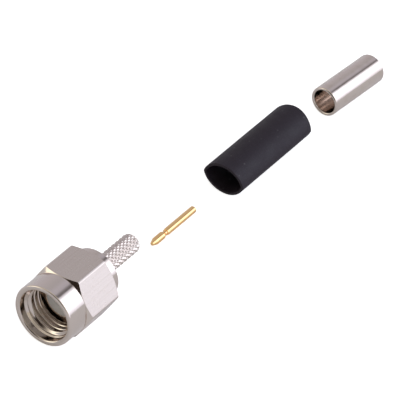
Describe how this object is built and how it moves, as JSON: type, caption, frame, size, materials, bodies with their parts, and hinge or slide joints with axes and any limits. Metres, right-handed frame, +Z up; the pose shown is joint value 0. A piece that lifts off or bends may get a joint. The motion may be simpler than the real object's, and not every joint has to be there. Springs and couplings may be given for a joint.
{
  "type": "crimp coaxial plug, unassembled",
  "caption": "Crimp coaxial plug kit: body with turning hex coupling nut, gold centre contact, crimp ferrule and heat-shrink sleeve, laid out in a row.",
  "frame": {"origin": "centre of the mating reference plane, the front face of the outer contact inside the coupling nut", "axes": "+X along the connector's axis, from its mouth towards the cable; +Z up from the plane that all the pieces lie on; +Y sideways"},
  "size_m": [0.0672, 0.009, 0.008],
  "materials": {
    "nickel_nut": "bright nickel plate",
    "nickel_body": "bright nickel plate",
    "spring_bronze": "plain",
    "insulator_ptfe": "waxy",
    "gold": "gold plate",
    "nickel_ferrule": "bright nickel plate",
    "black_sleeve": "matte"
  },
  "bodies": {
    "plug": {"plug_body": "nickel_body", "retaining_ring": "spring_bronze", "insulator": "insulator_ptfe", "centre_contact": "gold", "crimp_ferrule": "nickel_ferrule", "heat_shrink_sleeve": "black_sleeve"},
    "nut": {"coupling_nut": "nickel_nut"}
  },
  "joints": [
    {"name": "nut_spin", "type": "hinge", "parent": "plug", "child": "nut", "pos_m": [0, 0, 0], "axis": [1, 0, 0], "continuous": true}
  ]
}
